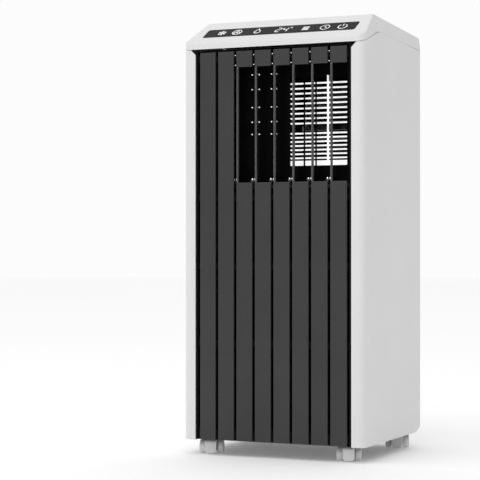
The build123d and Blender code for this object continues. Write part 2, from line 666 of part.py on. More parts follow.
def compressor():
    """The hermetic compressor with its foot plate, terminals and suction accumulator."""
    x, y = COMPRESSOR
    can = fillet(extrude(Circle(CAN_RADIUS), CAN_TOP - CAN_LOW).edges(), 16)
    body = Pos(x, y, CAN_LOW) * can
    rims = [(Pos(fx, fy) * Circle(9)).edge() for fx, fy in compressor_feet()]
    body += upward(make_hull(rims), FOOT_LOW, FOOT_HIGH)
    body += block((x - 12, y - 9, CAN_TOP - 2), (x + 12, y + 9, CAN_TOP + 12))
    body += Pos(*ACCUMULATOR, 90) * fillet(extrude(Circle(16), 110).edges(), 7)
    towards = degrees(atan2(ACCUMULATOR[1] - y, ACCUMULATOR[0] - x))
    body += Pos(x, y, 150) * Rot(0, 0, towards) * block((40, -6, 0), (62, 6, 12))
    body += rod((*ACCUMULATOR, 80), (*ACCUMULATOR, 92), 4) + rod((*ACCUMULATOR, 84), (x, y, 84), 4)
    for fx, fy in compressor_feet():
        body -= rod((fx, fy, 50), (fx, fy, 70), 4.2)
    return body


def compressor_grommets():
    """The three rubber mounts under the compressor's foot plate."""
    group = []
    for fx, fy in compressor_feet():
        grommet = rod((fx, fy, BASE_Z + BASE_PLATE), (fx, fy, FOOT_LOW), 9)
        groove = rod((fx, fy, 48), (fx, fy, 51), 9.5) - rod((fx, fy, 47), (fx, fy, 52), 7.5)
        group.append((grommet - groove) - rod((fx, fy, 30), (fx, fy, 60), 3.2))
    return Compound(children=group)


def compressor_bolts():
    """The three bolts through the mounts, with washer heads."""
    group = []
    for fx, fy in compressor_feet():
        bolt = rod((fx, fy, BASE_Z + BASE_PLATE), (fx, fy, FOOT_HIGH + 0.5), 3.0)
        bolt += rod((fx, fy, FOOT_HIGH), (fx, fy, FOOT_HIGH + 1.5), 8)
        bolt += Pos(fx, fy, FOOT_HIGH + 1.5) * extrude(RegularPolygon(5.5, 6), 5)
        group.append(bolt)
    return Compound(children=group)


def discharge_pipe():
    """The hot gas pipe from the compressor to the warm coil."""
    x, y = COMPRESSOR
    back = COIL_FRONT + COIL_DEPTH / 2
    points = [(x, y + 20, CAN_TOP), (x, y + 20, 285), (x, back, 285), (x, back, 255)]
    return pipe(points, 14, 4)


def suction_pipe():
    """The cold gas pipe from the cold coil down to the accumulator."""
    back = COIL_FRONT + COIL_DEPTH / 2
    points = [
        (-COIL_HALF - 2, back, 470), (-138, back, 470), (-138, back, 320), (-138, ACCUMULATOR[1], 320),
        (*ACCUMULATOR, 290), (*ACCUMULATOR, 200),
    ]
    return pipe(points, 9, 4.5)


# ---- base, rear pieces and casters ---------------------------------------------------------------
def caster_places():
    places = {}
    for name, (x, y) in (("front", FRONT_CASTER), ("rear", REAR_CASTER)):
        places[name + "_left"] = (-x, y)
        places[name + "_right"] = (x, y)
    return places


def base_tray():
    """The moulded base: floor, rim, caster sockets and the drain spigot."""
    outline = rectangle((-BASE_HALF, BASE_FRONT), (BASE_HALF, BASE_BACK))
    outline = fillet(outline.vertices(), 14)
    body = upward(outline, BASE_Z, BASE_Z + BASE_PLATE)
    body += upward(outline - offset(outline, -WALL), BASE_Z, BASE_RIM)
    for x, y in caster_places().values():
        body += rod((x, y, BASE_Z), (x, y, STEM_TOP + 4), SOCKET_RADIUS)
        body -= rod((x, y, BASE_Z - 1), (x, y, STEM_TOP + 1), STEM_RADIUS + RUNNING)
    inside = BASE_BACK - WALL
    mouth = REAR + SPIGOT_REACH
    spigot = rod((SPIGOT_X, inside + 1, LOWER_SPIGOT_Z), (SPIGOT_X, mouth, LOWER_SPIGOT_Z), SPIGOT_RADIUS)
    bore = rod((SPIGOT_X, inside - 1, LOWER_SPIGOT_Z), (SPIGOT_X, mouth + 1, LOWER_SPIGOT_Z), SPIGOT_BORE)
    return body + spigot - bore


def drain_plug(height):
    """A rubber plug with a finger flange, pushed into a drain spigot."""
    y = REAR + SPIGOT_REACH
    body = rod((SPIGOT_X, y, height), (SPIGOT_X, y + 3, height), SPIGOT_RADIUS)
    body += rod((SPIGOT_X, y - 10, height), (SPIGOT_X, y + 1, height), SPIGOT_BORE - RUNNING)
    return body + block((SPIGOT_X - 5, y + 2, height - 1.2), (SPIGOT_X + 5, y + 6, height + 1.2))


def exhaust_collar():
    """The round collar that takes the exhaust hose's coupling."""
    body = rod((0, 118, EXHAUST_Z), (0, REAR + 10, EXHAUST_Z), EXHAUST_OUTER)
    body += rod((0, REAR, EXHAUST_Z), (0, REAR + 3, EXHAUST_Z), EXHAUST_FLANGE)
    return body - rod((0, 117, EXHAUST_Z), (0, REAR + 11, EXHAUST_Z), EXHAUST_BORE)


def intake_grille(span):
    """A clip-in grille with level slots and a finger pull."""
    low, high = span[0] + FIT_GAP, span[1] - FIT_GAP
    half = INTAKE_HALF - FIT_GAP
    outline = rectangle((-half, low), (half, high))
    slots = 17
    pitch = (high - low - 16) / slots
    for index in range(slots):
        z = low + 8 + pitch * index
        for side in (-1, 1):
            a, b = sorted((side * 3, side * (half - 8)))
            outline -= rectangle((a, z + 1.6), (b, z + pitch - 1.6))
    body = rearward(outline, REAR - 3, REAR)
    rim = rectangle((-half, low), (half, high)) - rectangle((-half + 2, low + 2), (half - 2, high - 2))
    body += rearward(rim, REAR - 7, REAR - 2)
    return body


def intake_filter(span):
    """A thin filter screen in a ribbed frame, behind its grille."""
    low, high = span[0] + 3, span[1] - 3
    half = INTAKE_HALF - 3
    body = block((-half, REAR - 6.2, low), (half, REAR - 5.6, high))
    ribs = rectangle((-half, low), (half, high)) - rectangle((-half + 4, low + 4), (half - 4, high - 4))
    for x in (-52.5, 0.0, 52.5):
        ribs += rectangle((x - 1.5, low), (x + 1.5, high))
    for z in (low + (high - low) / 3, high - (high - low) / 3):
        ribs += rectangle((-half, z - 1.5), (half, z + 1.5))
    return body + rearward(ribs, REAR - 6.8, REAR - 4)


def cord_gland():
    """The bushing where a mains lead would come out."""
    x, z = GLAND_PLACE
    body = rod((x, REAR - 6, z), (x, REAR + 1, z), 8) + rod((x, REAR, z), (x, REAR + 3, z), 10.5)
    return body - rod((x, REAR - 7, z), (x, REAR + 4, z), 4)


def rear_screws():
    """The eight screws that hold the rear cover."""
    group = []
    for side in (-1, 1):
        for height in SCREW_HEIGHTS:
            x = side * SCREW_X
            head = fillet(extrude(Circle(3.6), 2.2).edges().group_by(Axis.Z)[-1], 1.2)
            head -= Pos(0, 0, 1.4) * (extrude(Rectangle(4.4, 0.9), 1) + extrude(Rectangle(0.9, 4.4), 1))
            head = Plane(origin=(x, REAR, height), z_dir=(0, 1, 0)).location * head
            group.append(head + rod((x, REAR - 6, height), (x, REAR + 0.5, height), 1.5))
    return Compound(children=group)


def caster_frame(place):
    """A caster's own axes: +X along the axle, -Y towards the nose."""
    return Pos(place[0], place[1], 0) * Rot(0, 0, CASTER_TURN)


def caster_hood():
    """The caster's central hood with its swivel neck and stem."""
    heel = WHEEL_RADIUS - HOOD_LIFT
    half = HOOD_WIDTH / 2
    web = Pos(TRAIL, WHEEL_RADIUS) * Circle(heel)
    web += rectangle((-NOSE, HOOD_LIFT), (TRAIL, HOOD_TOP))
    web += rectangle((-NOSE, WHEEL_RADIUS), (TRAIL + heel, HOOD_TOP))
    web = fillet(web.vertices().sort_by_distance((-NOSE, HOOD_TOP))[0], 5)
    web = fillet(web.vertices().sort_by_distance((-NOSE, HOOD_LIFT))[0], 3)
    body = across(web, -half, half)
    lower = Polyline(
        (-half, BASE_Z), (-half, HOOD_LIFT + HOOD_CHAMFER), (-half + HOOD_CHAMFER, HOOD_LIFT),
        (half - HOOD_CHAMFER, HOOD_LIFT), (half, HOOD_LIFT + HOOD_CHAMFER), (half, BASE_Z), close=True,
    )
    body = body & rearward(make_face(lower), -BASE_Z, BASE_Z)
    body += rod((0, 0, HOOD_TOP - 0.5), (0, 0, NECK_TOP), NECK_RADIUS)
    body += rod((0, 0, NECK_TOP - 0.5), (0, 0, STEM_TOP), STEM_RADIUS)
    axle_hole = rod((-half - 1, TRAIL, WHEEL_RADIUS), (half + 1, TRAIL, WHEEL_RADIUS), AXLE_RADIUS + AXLE_FIT)
    return body - axle_hole


def caster_wheel(side):
    """One wheel of a twin-wheel caster, with a dished outer face."""
    near = HOOD_WIDTH / 2 + 0.5
    far = near + WHEEL_WIDTH
    start = (side * near, TRAIL, WHEEL_RADIUS)
    end = (side * far, TRAIL, WHEEL_RADIUS)
    body = fillet(rod(start, end, WHEEL_RADIUS).edges(), 2.6)
    dish_start = (side * (far - DISH_DEPTH), TRAIL, WHEEL_RADIUS)
    dish_end = (side * (far + 1), TRAIL, WHEEL_RADIUS)
    body -= rod(dish_start, dish_end, DISH_RADIUS) - rod(dish_start, dish_end, HUB_RADIUS)
    bore_end = (side * (far - 3), TRAIL, WHEEL_RADIUS)
    return body - rod((side * (near - 1), TRAIL, WHEEL_RADIUS), bore_end, AXLE_RADIUS + RUNNING)


def caster_axle():
    """The steel axle, pressed through the hood, on which both wheels turn."""
    reach = HOOD_WIDTH / 2 + 0.5 + WHEEL_WIDTH - 3.2
    return rod((-reach, TRAIL, WHEEL_RADIUS), (reach, TRAIL, WHEEL_RADIUS), AXLE_RADIUS)


def main():
    os.makedirs("parts", exist_ok=True)
    shell = casing_shell()
    save("left_side_shell", side_shell(shell, -1))
    save("right_side_shell", side_shell(shell, 1))
    save("rear_cover", rear_cover(shell))
    save("top_cover", top_cover())
    save("control_glass", control_glass())
    save("display_board", display_board())
    save("front_frame", front_frame())
    save("slat_panel", slat_panel())
    for number in range(1, SLAT_COUNT - FULL_SLATS + 1):
        save(f"vane_{number}", vane(FULL_SLATS + number - 1))
    save("vane_tie_bar", vane_tie_bar())
    save("vane_motor", vane_motor())
    save("motor_crank", motor_crank())
    save("outlet_duct", outlet_duct())
    save("inner_grille", inner_grille())
    save("blower_scroll", blower_scroll())
    save("blower_wheel", blower_wheel())
    save("blower_motor", blower_motor())
    save("evaporator", coil(*COLD_COIL))
    save("drain_pan", drain_pan())
    save("control_box", control_box())
    save("condenser", coil(*WARM_COIL))
    save("condenser_scroll", condenser_scroll())
    save("condenser_wheel", condenser_wheel())
    save("condenser_motor", condenser_motor())
    save("compressor", compressor())
    save("compressor_grommets", compressor_grommets())
    save("compressor_bolts", compressor_bolts())
    save("discharge_pipe", discharge_pipe())
    save("suction_pipe", suction_pipe())
    save("base_tray", base_tray())
    save("lower_drain_plug", drain_plug(LOWER_SPIGOT_Z))
    save("upper_drain_plug", drain_plug(UPPER_SPIGOT_Z))
    save("exhaust_collar", exhaust_collar())
    save("upper_intake_grille", intake_grille(UPPER_INTAKE))
    save("upper_filter", intake_filter(UPPER_INTAKE))
    save("lower_intake_grille", intake_grille(LOWER_INTAKE))
    save("lower_filter", intake_filter(LOWER_INTAKE))
    save("cord_gland", cord_gland())
    save("rear_screws", rear_screws())
    for name, place in caster_places().items():
        frame = caster_frame(place)
        save(f"caster_{name}_hood", frame * caster_hood())
        save(f"caster_{name}_axle", frame * caster_axle())
        save(f"caster_{name}_wheel_left", frame * caster_wheel(-1))
        save(f"caster_{name}_wheel_right", frame * caster_wheel(1))


main()
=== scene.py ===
import json
import math

import bmesh
import bpy
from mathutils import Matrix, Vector


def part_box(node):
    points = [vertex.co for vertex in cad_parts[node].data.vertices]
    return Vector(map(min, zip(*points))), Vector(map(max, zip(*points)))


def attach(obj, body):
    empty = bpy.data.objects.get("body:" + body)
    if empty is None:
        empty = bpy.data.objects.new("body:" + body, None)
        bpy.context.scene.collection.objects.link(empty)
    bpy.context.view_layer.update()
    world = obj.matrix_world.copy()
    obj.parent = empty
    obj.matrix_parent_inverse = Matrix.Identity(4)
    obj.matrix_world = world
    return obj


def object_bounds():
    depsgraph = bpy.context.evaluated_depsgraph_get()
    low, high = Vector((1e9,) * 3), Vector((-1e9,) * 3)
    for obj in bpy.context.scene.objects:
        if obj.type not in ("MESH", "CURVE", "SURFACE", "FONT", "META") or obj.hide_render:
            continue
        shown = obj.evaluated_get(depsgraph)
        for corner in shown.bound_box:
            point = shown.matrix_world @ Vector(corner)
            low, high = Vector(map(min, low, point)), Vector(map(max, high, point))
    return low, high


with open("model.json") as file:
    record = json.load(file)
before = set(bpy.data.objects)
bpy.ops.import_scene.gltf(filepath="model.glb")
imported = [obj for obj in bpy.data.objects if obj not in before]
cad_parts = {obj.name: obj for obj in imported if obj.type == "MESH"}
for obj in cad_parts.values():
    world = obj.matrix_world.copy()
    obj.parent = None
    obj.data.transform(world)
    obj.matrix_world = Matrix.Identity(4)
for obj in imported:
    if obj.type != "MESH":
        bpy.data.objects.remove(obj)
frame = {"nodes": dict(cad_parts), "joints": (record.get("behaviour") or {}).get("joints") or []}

CAD_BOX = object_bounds()
MM = 0.001
WAVE_PERIOD = 0.314
SMOOTH_ANGLE = math.radians(35)

FRONT_Y = CAD_BOX[0].y
SLAT_THICK = 3.2 * MM
SLAT_GAP = 4.46 * MM
CRANK = 9.9 * MM


# ---- materials -------------------------------------------------------------------------------
def add(tree, kind, place, **values):
    """A shader node with some of its settings or sockets given by name."""
    node = tree.nodes.new(kind)
    node.location = place
    for key, value in values.items():
        if hasattr(node, key):
            setattr(node, key, value)
        else:
            node.inputs[key.replace("_", " ")].default_value = value
    return node


def noise_texture(tree, coordinates, size, detail, place, stretch=(1, 1, 1)):
    """Noise whose features are about size metres across, optionally stretched along an axis."""
    mapping = add(tree, "ShaderNodeMapping", (place[0] - 200, place[1]))
    mapping.inputs["Scale"].default_value = stretch
    texture = add(tree, "ShaderNodeTexNoise", place)
    texture.inputs["Scale"].default_value = 1.0 / size
    texture.inputs["Detail"].default_value = detail
    texture.inputs["Roughness"].default_value = 0.55
    tree.links.new(coordinates, mapping.inputs["Vector"])
    tree.links.new(mapping.outputs["Vector"], texture.inputs["Vector"])
    return texture.outputs["Fac"]


def remap(tree, value, low, high, place, source=(0.3, 0.7)):
    """Stretches a 0 to 1 value to the range low to high."""
    node = add(tree, "ShaderNodeMapRange", place)
    node.inputs["From Min"].default_value = source[0]
    node.inputs["From Max"].default_value = source[1]
    node.inputs["To Min"].default_value = low
    node.inputs["To Max"].default_value = high
    tree.links.new(value, node.inputs["Value"])
    return node.outputs["Result"]


def edge_mask(tree, radius, place):
    """White on convex edges: where the rounded normal leaves the true one."""
    bevel = add(tree, "ShaderNodeBevel", place, samples=4)
    bevel.inputs["Radius"].default_value = radius
    geometry = add(tree, "ShaderNodeNewGeometry", (place[0], place[1] - 160))
    dot = add(tree, "ShaderNodeVectorMath", (place[0] + 200, place[1]), operation="DOT_PRODUCT")
    tree.links.new(bevel.outputs["Normal"], dot.inputs[0])
    tree.links.new(geometry.outputs["Normal"], dot.inputs[1])
    return remap(tree, dot.outputs["Value"], 1.0, 0.0, (place[0] + 400, place[1]), (0.86, 0.995))


def mixed(tree, factor, first, second, place):
    """A colour between two, by a factor; either colour may be a socket."""
    node = add(tree, "ShaderNodeMix", place, data_type="RGBA")
    tree.links.new(factor, node.inputs["Factor"])
    for value, socket in ((first, node.inputs[6]), (second, node.inputs[7])):
        if isinstance(value, bpy.types.NodeSocket):
            tree.links.new(value, socket)
        else:
            socket.default_value = (*value, 1.0)
    return node.outputs[2]


def woven(tree, coordinates, strand, place):
    """A square weave of strands across and up, brightest where they cross."""
    bands = []
    for index, direction in enumerate(("X", "Z")):
        wave = add(tree, "ShaderNodeTexWave", (place[0], place[1] - 200 * index), bands_direction=direction)
        wave.inputs["Scale"].default_value = WAVE_PERIOD / strand
        tree.links.new(coordinates, wave.inputs["Vector"])
        bands.append(wave.outputs["Fac"])
    crossing = add(tree, "ShaderNodeMath", (place[0] + 200, place[1]), operation="MAXIMUM")
    tree.links.new(bands[0], crossing.inputs[0])
    tree.links.new(bands[1], crossing.inputs[1])
    return crossing.outputs[0]


def surface(
    name, colour, spread=0.06, rough=0.45, rough_spread=0.08, grain=0.15, grain_size=0.6 * MM, weave=0.0,
    mottle=0.05, wear_and_highlight=0.12, wear_and_highlight_colour=None, edge=0.7 * MM, stretch=(1, 1, 1), **sockets,
):
    """A finished material: mottled colour, uneven gloss, fine grain and lighter edges, which are slight wear
    on most materials and a painted highlight where the edge colour is strong and light.
    """
    material = bpy.data.materials.new(name)
    material.use_nodes = True
    tree = material.node_tree
    tree.nodes.clear()
    output = add(tree, "ShaderNodeOutputMaterial", (1100, 0))
    shader = add(tree, "ShaderNodeBsdfPrincipled", (800, 0))
    tree.links.new(shader.outputs["BSDF"], output.inputs["Surface"])
    where = add(tree, "ShaderNodeTexCoord", (-900, 0)).outputs["Object"]
    clouds = noise_texture(tree, where, mottle, 4.0, (-500, 300), stretch)
    darker = tuple(c * (1 - spread) for c in colour)
    lighter = tuple(min(1.0, c * (1 + spread)) for c in colour)
    tone = mixed(tree, remap(tree, clouds, 0, 1, (-250, 300)), darker, lighter, (0, 300))
    # Edge colour: real wear on most materials, a painted highlight on the slats' and vanes' edges.
    worn_and_highlit_colour = wear_and_highlight_colour or tuple(min(1.0, c + (1 - c) * 0.35) for c in colour)
    edges = edge_mask(tree, edge, (-500, -400))
    scuffs = noise_texture(tree, where, 4 * MM, 3.0, (-500, -700))
    wear_and_highlight_mask = add(tree, "ShaderNodeMath", (150, -400), operation="MULTIPLY")
    tree.links.new(edges, wear_and_highlight_mask.inputs[0])
    tree.links.new(remap(tree, scuffs, wear_and_highlight * 0.5, wear_and_highlight, (-100, -700)), wear_and_highlight_mask.inputs[1])
    tree.links.new(mixed(tree, wear_and_highlight_mask.outputs[0], tone, worn_and_highlit_colour, (350, 200)), shader.inputs["Base Color"])
    if weave:
        fine = woven(tree, where, weave, (-500, 0))
    else:
        fine = noise_texture(tree, where, grain_size, 2.0, (-500, 0), stretch)
    smears = noise_texture(tree, where, mottle * 0.4, 3.0, (-500, 100))
    gloss = remap(tree, smears, rough - rough_spread, rough + rough_spread, (0, 50))
    tree.links.new(gloss, shader.inputs["Roughness"])
    bump = add(tree, "ShaderNodeBump", (400, -200))
    bump.inputs["Strength"].default_value = grain
    bump.inputs["Distance"].default_value = grain_size * 0.25
    rounded = add(tree, "ShaderNodeBevel", (150, -150), samples=4)
    rounded.inputs["Radius"].default_value = edge * 0.7
    tree.links.new(rounded.outputs["Normal"], bump.inputs["Normal"])
    tree.links.new(fine, bump.inputs["Height"])
    tree.links.new(bump.outputs["Normal"], shader.inputs["Normal"])
    for key, value in sockets.items():
        socket = shader.inputs[key.replace("_", " ")]
        socket.default_value = value
    return material


def grey(value):
    """A neutral colour."""
    return (value, value, value)


shell_white = surface(
    "shell_white", grey(0.722), spread=0.012, rough=0.42, rough_spread=0.05, grain=0.22,
    grain_size=0.9 * MM, mottle=0.12, wear_and_highlight=0.10, wear_and_highlight_colour=grey(0.82), Specular_IOR_Level=0.4,
)
# Slats: the strong light edge colour is a painted highlight along the slat edges, not wear.
slat_grey = surface(
    "slat_grey", (0.036, 0.036, 0.037), spread=0.10, rough=0.46, rough_spread=0.06, grain=0.25,
    grain_size=0.7 * MM, mottle=0.09, wear_and_highlight=0.9, wear_and_highlight_colour=grey(0.19), edge=1.0 * MM,
    Specular_IOR_Level=0.3,
)
# Vanes: the strong light edge colour is a painted highlight on the vanes' front edges, not wear.
vane_grey = surface(
    "vane_grey", (0.036, 0.036, 0.037), spread=0.10, rough=0.46, rough_spread=0.06, grain=0.25,
    grain_size=0.7 * MM, mottle=0.09, wear_and_highlight=1.0, wear_and_highlight_colour=grey(0.42), edge=1.8 * MM,
    Specular_IOR_Level=0.35,
)
black_trim = surface(
    "black_trim", grey(0.003), spread=0.3, rough=0.6, rough_spread=0.08, grain=0.3,
    grain_size=0.8 * MM, mottle=0.03, wear_and_highlight=0.15, wear_and_highlight_colour=grey(0.02), Specular_IOR_Level=0.07,
)
touch_black = surface(
    "touch_black", grey(0.008), spread=0.15, rough=0.10, rough_spread=0.04, grain=0.015,
    grain_size=6 * MM, mottle=0.05, wear_and_highlight=0.25, wear_and_highlight_colour=grey(0.05), edge=0.4 * MM,
    Specular_IOR_Level=0.03,
)
mark_white = surface(
    "mark_white", grey(0.85), spread=0.04, rough=0.35, grain=0.05, mottle=0.01, wear_and_highlight=0.05,
    edge=0.1 * MM, Emission_Color=(1.0, 1.0, 1.0, 1.0), Emission_Strength=0.25,
)
# Guard bars: the emission is a painted glow that makes the bars read brighter; they are no lamp.
guard_white_glowing = surface(
    "guard_white_glowing", grey(0.90), spread=0.03, rough=0.35, grain=0.08, mottle=0.03, wear_and_highlight=0.1,
    edge=0.3 * MM, Emission_Color=(1.0, 1.0, 1.0, 1.0), Emission_Strength=0.7,
)
caster_grey = surface(
    "caster_grey", grey(0.62), spread=0.06, rough=0.40, grain=0.12, mottle=0.02, wear_and_highlight=0.25,
    wear_and_highlight_colour=grey(0.5), edge=0.6 * MM,
)
wheel_grey = surface(
    "wheel_grey", grey(0.68), spread=0.10, rough=0.5, rough_spread=0.1, grain=0.2, mottle=0.012,
    wear_and_highlight=0.3, wear_and_highlight_colour=grey(0.35), edge=0.8 * MM,
)
inner_grey = surface("inner_grey", grey(0.24), spread=0.08, rough=0.55, grain=0.25, mottle=0.04)
fan_grey = surface("fan_grey", grey(0.05), spread=0.1, rough=0.5, grain=0.15, mottle=0.03)
fin_metal = surface(
    "fin_metal", (0.66, 0.68, 0.70), spread=0.10, rough=0.34, rough_spread=0.12, grain=0.3,
    grain_size=0.5 * MM, mottle=0.03, wear_and_highlight=0.2, wear_and_highlight_colour=grey(0.9), stretch=(1, 1, 0.15),
    Metallic=1.0,
)
steel = surface(
    "steel", (0.56, 0.56, 0.57), spread=0.08, rough=0.30, rough_spread=0.12, grain=0.2,
    grain_size=0.4 * MM, mottle=0.01, wear_and_highlight=0.35, wear_and_highlight_colour=grey(0.85), Metallic=1.0,
)
# Clips and studs: the emission is a painted glow standing for highlights on the steel; they are no lamp.
clip_steel_glowing = surface(
    "clip_steel_glowing", grey(0.90), spread=0.05, rough=0.22, grain=0.05, mottle=0.004, wear_and_highlight=0.2,
    wear_and_highlight_colour=grey(1.0), Emission_Color=(1.0, 1.0, 1.0, 1.0), Emission_Strength=0.7,
)
compressor_paint = surface(
    "compressor_paint", grey(0.018), spread=0.25, rough=0.34, rough_spread=0.1, grain=0.5,
    grain_size=1.5 * MM, mottle=0.02, wear_and_highlight=0.4, wear_and_highlight_colour=grey(0.3),
)
copper = surface(
    "copper", (0.78, 0.38, 0.25), spread=0.18, rough=0.28, rough_spread=0.14, grain=0.15,
    mottle=0.012, wear_and_highlight=0.3, wear_and_highlight_colour=(0.95, 0.6, 0.45), Metallic=1.0,
)
rubber = surface(
    "rubber", grey(0.025), spread=0.2, rough=0.75, rough_spread=0.08, grain=0.4,
    grain_size=0.5 * MM, mottle=0.01, wear_and_highlight=0.3, wear_and_highlight_colour=grey(0.09), Specular_IOR_Level=0.25,
)
board_green = surface(
    "board_green", (0.02, 0.12, 0.045), spread=0.25, rough=0.32, grain=0.2, grain_size=1.2 * MM,
    mottle=0.008, wear_and_highlight=0.3, wear_and_highlight_colour=(0.5, 0.4, 0.15),
)
mesh_nylon = surface(
    "mesh_nylon", (0.10, 0.105, 0.11), spread=0.15, rough=0.6, grain=0.9, grain_size=1.2 * MM,
    weave=2.0 * MM, mottle=0.02, Sheen_Weight=0.15,
)

NODE_MATERIALS = {
    shell_white: [
        "left_side_shell", "right_side_shell", "rear_cover", "top_cover", "exhaust_collar",
        "upper_intake_grille", "lower_intake_grille",
    ],
    slat_grey: ["slat_panel"],
    vane_grey: [f"vane_{n}" for n in range(1, 7)],
    black_trim: ["front_frame", "vane_tie_bar", "motor_crank", "outlet_duct", "blower_scroll"],
    touch_black: ["control_glass"],
    guard_white_glowing: ["inner_grille"],
    board_green: ["display_board"],
    inner_grey: ["drain_pan", "condenser_scroll", "base_tray"],
    fan_grey: ["blower_wheel", "condenser_wheel"],
    fin_metal: ["evaporator", "condenser"],
    steel: [
        "vane_motor", "blower_motor", "condenser_motor", "compressor_bolts", "control_box", "rear_screws",
    ],
    compressor_paint: ["compressor"],
    copper: ["discharge_pipe", "suction_pipe"],
    rubber: ["compressor_grommets", "lower_drain_plug", "upper_drain_plug", "cord_gland"],
    mesh_nylon: ["upper_filter", "lower_filter"],
}
CASTERS = ("front_left", "front_right", "rear_left", "rear_right")
NODE_MATERIALS[caster_grey] = [f"caster_{place}_hood" for place in CASTERS]
NODE_MATERIALS[wheel_grey] = [
    f"caster_{place}_wheel_{side}" for place in CASTERS for side in ("left", "right")
]
NODE_MATERIALS[steel] += [f"caster_{place}_axle" for place in CASTERS]


def dress(piece, material):
    """Gives a piece one material in every slot."""
    piece.data.materials.clear()
    piece.data.materials.append(material)


for material, names in NODE_MATERIALS.items():
    for name in names:
        dress(frame["nodes"][name], material)


# ---- mesh helpers ----------------------------------------------------------------------------
def new_piece(name, mesh_maker, material, body):
    """A piece made by filling a bmesh, with its material, riding on a body."""
    shape = bmesh.new()
    mesh_maker(shape)
    bmesh.ops.recalc_face_normals(shape, faces=shape.faces)
    mesh = bpy.data.meshes.new(name)
    shape.to_mesh(mesh)
    shape.free()
    mesh.polygons.foreach_set("use_smooth", [True] * len(mesh.polygons))
    mesh.set_sharp_from_angle(angle=SMOOTH_ANGLE)
    piece = bpy.data.objects.new(name, mesh)
    bpy.context.scene.collection.objects.link(piece)
    mesh.materials.append(material)
    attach(piece, body)
    return piece


def add_round(shape, start, end, radius, segments=20, tip=0.25):
    """A round stud from start to end, its far rim softened."""
    start, end = Vector(start), Vector(end)
    run = end - start
    turn = run.to_track_quat("Z", "Y").to_matrix().to_4x4()
    profile = [(radius, 0.0), (radius, 1 - tip * radius / run.length), (radius * (1 - tip), 1.0)]
    rings = []
    for r, share in profile:
        ring = []
        for step in range(segments):
            angle = 2 * math.pi * step / segments
            point = Vector((r * math.cos(angle), r * math.sin(angle), run.length * share))
            ring.append(shape.verts.new(start + turn @ point))
        rings.append(ring)
    for lower, upper in zip(rings, rings[1:]):
        for step in range(segments):
            after = (step + 1) % segments
            shape.faces.new((lower[step], lower[after], upper[after], upper[step]))
    shape.faces.new(list(reversed(rings[0])))
    shape.faces.new(rings[-1])


# ---- touch panel marks -------------------------------------------------------------------------
def glass_axes():
    """The glass's own directions: across, up the slope and out of its face."""
    mesh = frame["nodes"]["control_glass"].data
    largest = max(mesh.polygons, key=lambda face: face.area * (face.normal.z > 0))
    out = largest.normal.normalized()
    across = Vector((1, 0, 0))
    return across, out.cross(across).normalized(), out


SLOPE_ACROSS, SLOPE_UP, SLOPE_OUT = glass_axes()
MARK_LIFT = 0.10 * MM
MARK_WIDE = 1.15
MARK_TALL = 1.3


def glass_origin():
    """The middle of the glass's outer face."""
    corners = [v.co for v in frame["nodes"]["control_glass"].data.vertices]
    ups = [c.dot(SLOPE_UP) for c in corners]
    return SLOPE_UP * ((max(ups) + min(ups)) / 2) + SLOPE_OUT * max(c.dot(SLOPE_OUT) for c in corners)


GLASS_MIDDLE = glass_origin()


def panel_point(x, y, lift=0.0):
    """A point on the glass from its middle, x across and y up the slope, in millimetres."""
    return GLASS_MIDDLE + SLOPE_ACROSS * (x * MM) + SLOPE_UP * (y * MM) + SLOPE_OUT * lift


def add_stroke(shape, points, width=1.1, closed=False):
    """A flat printed line of a given width through points on the glass."""
    count = len(points)
    flat = [Vector((p[0], p[1])) for p in points]
    sides = []
    for index, point in enumerate(flat):
        before = flat[(index - 1) % count] if closed or index > 0 else None
        after = flat[(index + 1) % count] if closed or index < count - 1 else None
        way = Vector((0, 0))
        if before is not None:
            way += (point - before).normalized()
        if after is not None:
            way += (after - point).normalized()
        way = way.normalized() if way.length > 1e-6 else (after - point).normalized()
        edge = (point - before).normalized() if before is not None else way
        stretch = 1.0 / max(0.5, abs(way.dot(edge)))
        sides.append((point, Vector((-way.y, way.x)) * (width / 2 * stretch)))
    rows = []
    for point, side in sides:
        left, right = point + side, point - side
        rows.append([
            shape.verts.new(panel_point(*left, 0.0)), shape.verts.new(panel_point(*left, MARK_LIFT)),
            shape.verts.new(panel_point(*right, MARK_LIFT)), shape.verts.new(panel_point(*right, 0.0)),
        ])
    last = count if closed else count - 1
    for index in range(last):
        a, b = rows[index], rows[(index + 1) % count]
        for corner in range(4):
            following = (corner + 1) % 4
            shape.faces.new((a[corner], a[following], b[following], b[corner]))
    if not closed:
        shape.faces.new(rows[0])
        shape.faces.new(list(reversed(rows[-1])))


def arc(centre, radius, start, end, steps=24):
    """Points round an arc, in degrees."""
    points = []
    for step in range(steps + 1):
        angle = math.radians(start + (end - start) * step / steps)
        points.append((centre[0] + radius * math.cos(angle), centre[1] + radius * math.sin(angle)))
    return points


def ring(shape, centre, radius, width=1.1):
    """A closed circle, drawn as a stroke."""
    add_stroke(shape, arc(centre, radius, 0, 345, 23), width, closed=True)


def draw_snowflake(shape, x):
    """The cooling mark: six spokes with forked tips."""
    for spoke in range(3):
        angle = math.radians(60 * spoke + 90)
        tip = (6.0 * math.cos(angle), 6.0 * math.sin(angle))
        add_stroke(shape, [(x - tip[0], -tip[1]), (x + tip[0], tip[1])])
        for sign in (-1, 1):
            for fork in (-35, 35):
                reach = angle + math.radians(fork)
                base = (x + sign * tip[0] * 0.55, sign * tip[1] * 0.55)
                end = (base[0] + sign * 2.6 * math.cos(reach), base[1] + sign * 2.6 * math.sin(reach))
                add_stroke(shape, [base, end], 0.9)


